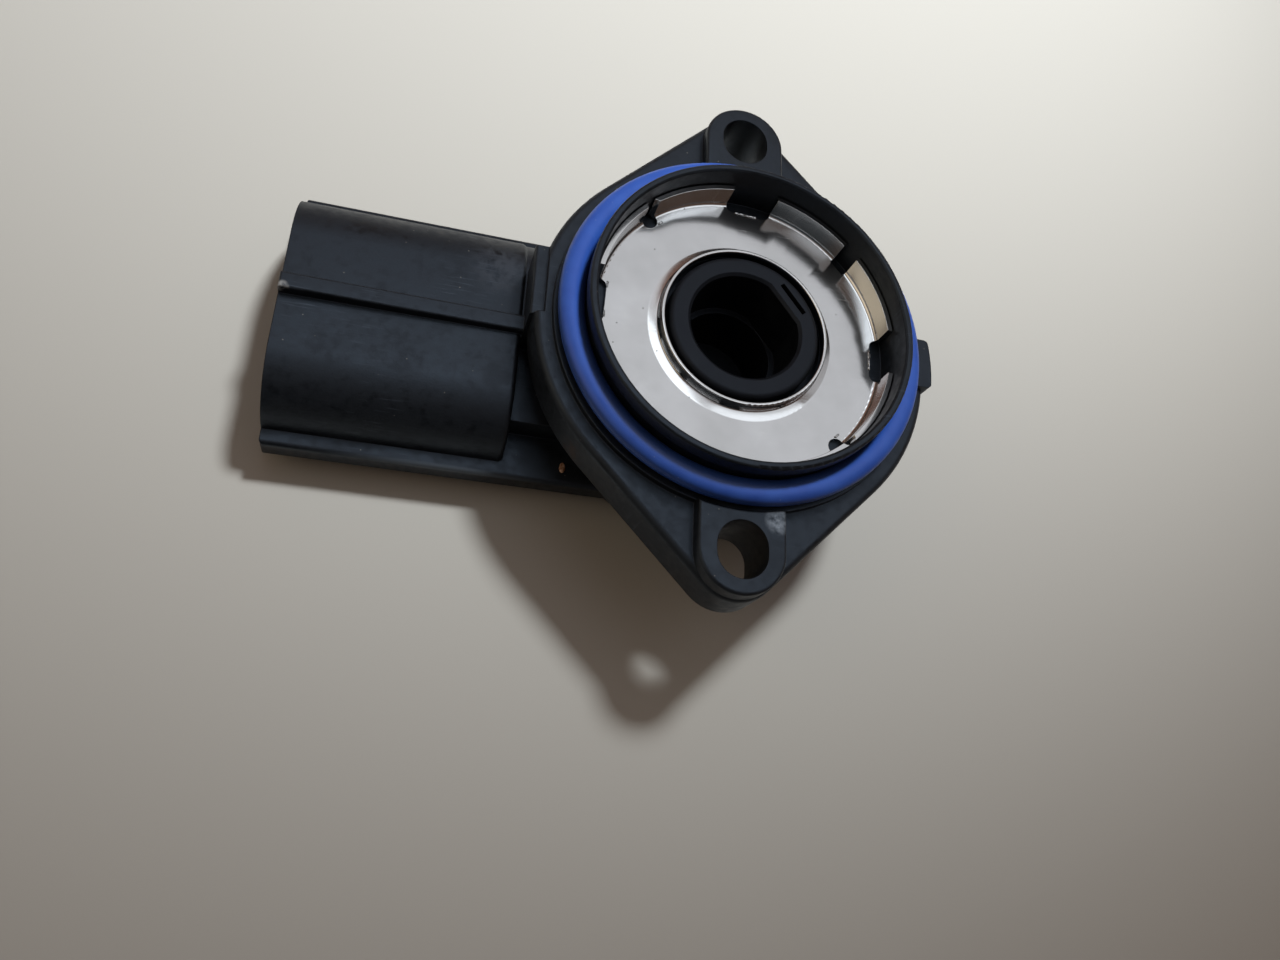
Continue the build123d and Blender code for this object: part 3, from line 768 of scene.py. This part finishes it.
# Place of the gap or slit round the disc in degrees, middle of the burr along its root, and length in mm.
BURRS = (
    (87.5, 0.2, 2.3),
    (-2.5, 0.0, 2.1),
    (177.5, -1.9, 0.6),
    (177.5, 1.3, 0.6),
    (132.5, -0.8, 0.5),
    (-47.5, 0.8, 0.5),
)
for number, (around, along, length) in enumerate(BURRS, start=1):
    bpy.ops.object.select_all(action="DESELECT")
    bpy.ops.mesh.primitive_cube_add(size=1.0)
    burr = bpy.context.active_object
    burr.name = f"gap_burr_{number}"
    burr.scale = (BURR_WIDTH, length * MM, BURR_HEIGHT)
    bpy.ops.object.transform_apply(location=False, rotation=False, scale=True)
    bpy.ops.object.mode_set(mode="EDIT")
    bpy.ops.mesh.select_all(action="SELECT")
    bpy.ops.mesh.subdivide(number_cuts=BURR_CUTS)
    bpy.ops.transform.vertex_random(offset=BURR_SHAKE, seed=number)
    bpy.ops.object.mode_set(mode="OBJECT")
    turn = Matrix.Rotation(math.radians(around), 3, "Z")
    burr.rotation_euler = turn.to_euler()
    burr.location = turn @ Vector((GAP_ROOT, along * MM, DISC_TOP))
    bpy.ops.object.transform_apply(location=True, rotation=True, scale=False)
    burr.data.materials.append(steel)
    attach(burr, "housing_body")
print("burrs", len(BURRS))

# %% [markdown]
# ## Dried grease
# A drop of old brown grease has dried in the corner where the shroud's rail meets the flange. Dried grease
# is a tan crust with darker patches, and still shines a little.

# %% Colour of the grease
grease, tree, shader, place = new_material("dried_brown_grease")
crust = add_node(tree, "ShaderNodeTexNoise", {"Vector": place, "Scale": 1 / (0.3 * MM), "Detail": 4.0})
tone = add_node(tree, "ShaderNodeValToRGB", {"Fac": crust.outputs["Fac"]})
tone.color_ramp.elements[0].position = 0.35
tone.color_ramp.elements[0].color = srgb("#8f6247")
tone.color_ramp.elements[1].position = 0.65
tone.color_ramp.elements[1].color = srgb("#dcbda4")
tree.links.new(tone.outputs["Color"], shader.inputs["Base Color"])
shader.inputs["Roughness"].default_value = 0.45
print("made", grease.name)

# %% [markdown]
# ### Drop of grease
# The drop starts as a ball, is pressed flat and shaken a little, and a subdivision rounds it again. It is
# half sunk in the rail, so no gap shows under it.

# %% Grease in the corner of the rail
DROP_HALF_SIZE = (0.32 * MM, 0.55 * MM, 0.2 * MM)
DROP_PLACE = (-14.43 * MM, -11.92 * MM, -12.58 * MM)
DROP_SHAKE = 0.03 * MM
DROP_SEED = 3
bpy.ops.object.select_all(action="DESELECT")
bpy.ops.mesh.primitive_ico_sphere_add(subdivisions=3, radius=1.0)
drop = bpy.context.active_object
drop.name = "grease_drop"
drop.scale = DROP_HALF_SIZE
drop.location = DROP_PLACE
bpy.ops.object.transform_apply(location=True, rotation=False, scale=True)
bpy.ops.object.mode_set(mode="EDIT")
bpy.ops.mesh.select_all(action="SELECT")
bpy.ops.transform.vertex_random(offset=DROP_SHAKE, seed=DROP_SEED)
bpy.ops.object.mode_set(mode="OBJECT")
rounding = drop.modifiers.new("rounding", "SUBSURF")
rounding.levels = 1
rounding.render_levels = 1
bpy.ops.object.modifier_apply(modifier=rounding.name)
bpy.ops.object.shade_smooth()
drop.data.materials.append(grease)
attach(drop, "housing_body")
print("grease", len(drop.data.polygons), "faces")

# %% [markdown]
# ## Floor
# The sensor lies on its flat back on a plain pale floor, which is far wider than the view.

# %% Floor
FLOOR_SIZE = 6.0
FLOOR_Z = cad_box[0][2]
bpy.ops.mesh.primitive_plane_add(size=FLOOR_SIZE, location=(0, 0, FLOOR_Z))
floor = bpy.context.active_object
floor.name = "floor"
floor_paint, tree, shader, place = new_material("pale_floor")
shader.inputs["Base Color"].default_value = srgb("#b6b6b0")
shader.inputs["Roughness"].default_value = 0.6
floor.data.materials.append(floor_paint)
print("floor at", round(FLOOR_Z / MM, 2), "mm")

# %% [markdown]
# ## Lamp
# A lamp high at the back right gives the shadow. It aims past the sensor, so the floor grows darker towards
# the front, and its size sets how soft the shadow's edge is. The gloss does not show it, because a small
# lamp would only put a hard spot on the steel.

# %% Lamp
LAMP_AZIMUTH = 65
LAMP_ELEVATION = 58
LAMP_DISTANCE = 0.45
LAMP_AIM_Y = 135 * MM


def direction(azimuth, elevation):
    """Unit vector towards a place in the room, in degrees round from +X and up from the floor."""
    flat = math.cos(math.radians(elevation))
    around = math.radians(azimuth)
    return Vector((flat * math.cos(around), flat * math.sin(around), math.sin(math.radians(elevation))))


lamp_data = bpy.data.lights.new("lamp", "SPOT")
lamp_data.shadow_soft_size = 0.036
lamp_data.spot_size = math.radians(54)
lamp_data.spot_blend = 1.0
lamp_data.energy = 15.0
lamp_data.color = srgb("#fafcff")[:3]
lamp = bpy.data.objects.new("lamp", lamp_data)
bpy.context.scene.collection.objects.link(lamp)
lamp.location = direction(LAMP_AZIMUTH, LAMP_ELEVATION) * LAMP_DISTANCE
aim = Vector((0, LAMP_AIM_Y, FLOOR_Z))
lamp.rotation_euler = (lamp.location - aim).to_track_quat("Z", "Y").to_euler()
lamp.visible_glossy = False
print("lamp at", [round(mm / MM) for mm in lamp.location], "mm")

# %% [markdown]
# ## Window and panels
# Polished steel looks like what it mirrors. A large window and six smaller panels hang round the sensor, and
# only the gloss of the surfaces shows them, so they do not add to the lamp's light on the floor.

# %% Window and panels
PANEL_DISTANCE = 0.6
# Azimuth, elevation and half the angle that it fills, in degrees, and how bright it looks.
PANELS = (
    (62, 62, 29, 0.71),
    (353, 64, 18, 0.8),
    (106, 73, 15, 1.25),
    (247, 66, 16, 0.2),
    (237, 83, 8, 0.5),
    (130, 46, 12, 0.8),
    (20, 32, 13, 0.45),
)
for azimuth, elevation, half_angle, radiance in PANELS:
    width = 2 * PANEL_DISTANCE * math.tan(math.radians(half_angle))
    panel_data = bpy.data.lights.new("panel", "AREA")
    panel_data.shape = "DISK"
    panel_data.size = width
    # A disc that looks this bright gives off its radiance times pi and its area.
    panel_data.energy = radiance * math.pi * math.pi * width**2 / 4
    panel_data.color = srgb("#f2f8ff")[:3]
    panel = bpy.data.objects.new("panel", panel_data)
    bpy.context.scene.collection.objects.link(panel)
    panel.location = direction(azimuth, elevation) * PANEL_DISTANCE
    panel.rotation_euler = panel.location.to_track_quat("Z", "Y").to_euler()
    panel.visible_diffuse = False
print("panels", len(PANELS))

# %% [markdown]
# ## Room
# A dim brown room fills the shadows. Three soft patches in it, brown, nearly black and warm white, are what
# the upright tabs of the stamping mirror.

# %% Room
ROOM = (0.11, 0.07, 0.053, 1.0)
# Azimuth and elevation of each patch, where it starts to fade and ends, in degrees, and its linear colour.
PATCHES = (
    (112, 30, 10, 26, (0.2, 0.1, 0.07, 1.0)),
    (256, 20, 20, 40, (0.04, 0.045, 0.05, 1.0)),
    (184, 34, 12, 28, (0.95, 0.78, 0.58, 1.0)),
)
world = bpy.data.worlds.new("room")
bpy.context.scene.world = world
world.use_nodes = True
tree = world.node_tree
sky = add_node(tree, "ShaderNodeTexCoord").outputs["Generated"]
room = ROOM
for azimuth, elevation, inner, outer, colour in PATCHES:
    towards = add_node(
        tree, "ShaderNodeVectorMath", {0: sky, 1: direction(azimuth, elevation)}, operation="DOT_PRODUCT"
    )
    patch = add_node(
        tree,
        "ShaderNodeMapRange",
        {
            "Value": towards.outputs["Value"],
            "From Min": math.cos(math.radians(outer)),
            "From Max": math.cos(math.radians(inner)),
        },
        interpolation_type="SMOOTHSTEP",
    )
    mixed = add_node(
        tree,
        "ShaderNodeMix",
        {MIX_SHARE: patch.outputs["Result"], MIX_FIRST: room, MIX_SECOND: colour},
        data_type="RGBA",
    )
    room = mixed.outputs[MIX_RESULT]
tree.links.new(room, tree.nodes["Background"].inputs["Color"])
tree.nodes["Background"].inputs["Strength"].default_value = 1.0
print("room with", len(PATCHES), "patches")

# %% [markdown]
# ## Camera
# The camera looks steeply down from the front left, close to the sensor. Its place, direction and lens were
# worked out from the round seal, disc, lip and bore, which share one axis and look like ellipses from there.

# %% Camera
CAMERA_PLACE = Vector((-28.93, -47.37, 75.27)) * MM
CAMERA_VIEW = Vector((0.2317, 0.363, -0.9025))
CAMERA_UP = Vector((-0.1358, 0.9308, 0.3395))
view = CAMERA_VIEW.normalized()
right = view.cross(CAMERA_UP).normalized()
up = right.cross(view).normalized()
camera_data = bpy.data.cameras.new("camera")
camera_data.sensor_fit = "HORIZONTAL"
camera_data.sensor_width = 36.0
camera_data.lens = 27.0
camera_data.clip_start = 0.001
camera = bpy.data.objects.new("camera", camera_data)
bpy.context.scene.collection.objects.link(camera)
turn = Matrix((right, up, -view)).transposed().to_4x4()
camera.matrix_world = Matrix.Translation(CAMERA_PLACE) @ turn
bpy.context.scene.camera = camera
bpy.context.scene.view_settings.view_transform = "Standard"
print("camera", round(CAMERA_PLACE.length / MM), "mm from the origin")
